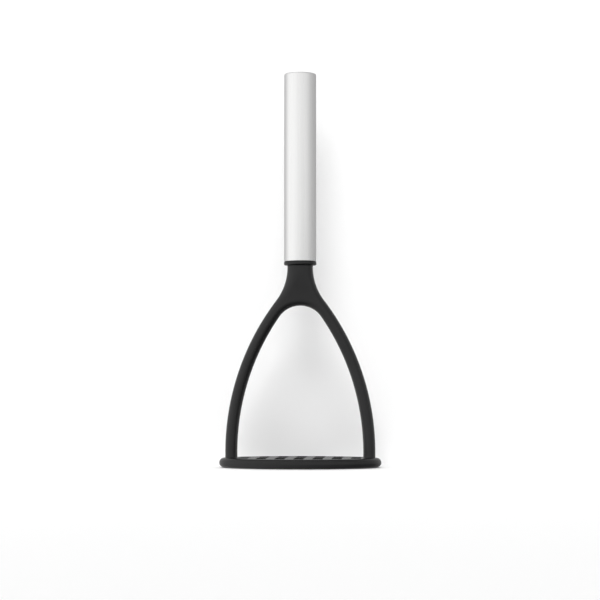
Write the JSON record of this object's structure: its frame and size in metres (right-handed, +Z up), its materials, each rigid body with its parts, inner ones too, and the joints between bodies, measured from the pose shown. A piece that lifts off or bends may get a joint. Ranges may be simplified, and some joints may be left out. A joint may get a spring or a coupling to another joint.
{
  "type": "potato masher",
  "caption": "Hand masher: a slotted oval plate on a two-armed arched yoke, with a slim upright tube handle.",
  "frame": {"origin": "middle of the mashing plate's flat underside", "axes": "+Z up along the handle, X along the plate's long way, Y along its short way"},
  "size_m": [0.1106, 0.076, 0.27],
  "materials": {
    "black_nylon": "fine satin moulded nylon, near black",
    "brushed_steel": "matt stainless steel, brushed along the handle",
    "insert_plastic": "plain grey moulding, hidden inside the handle",
    "zinc_steel": "zinc-plated steel, hidden inside the handle",
    "seal_rubber": "matt black rubber, hidden inside the handle"
  },
  "bodies": {
    "root": {"mashing_plate": "black_nylon", "head_yoke": "black_nylon", "collar_ring": "black_nylon", "handle_tube": "brushed_steel", "handle_end_cap": "brushed_steel", "handle_insert": "insert_plastic", "handle_seal": "seal_rubber", "tang_rod": "zinc_steel", "rod_lock_washer": "zinc_steel"}
  },
  "joints": []
}
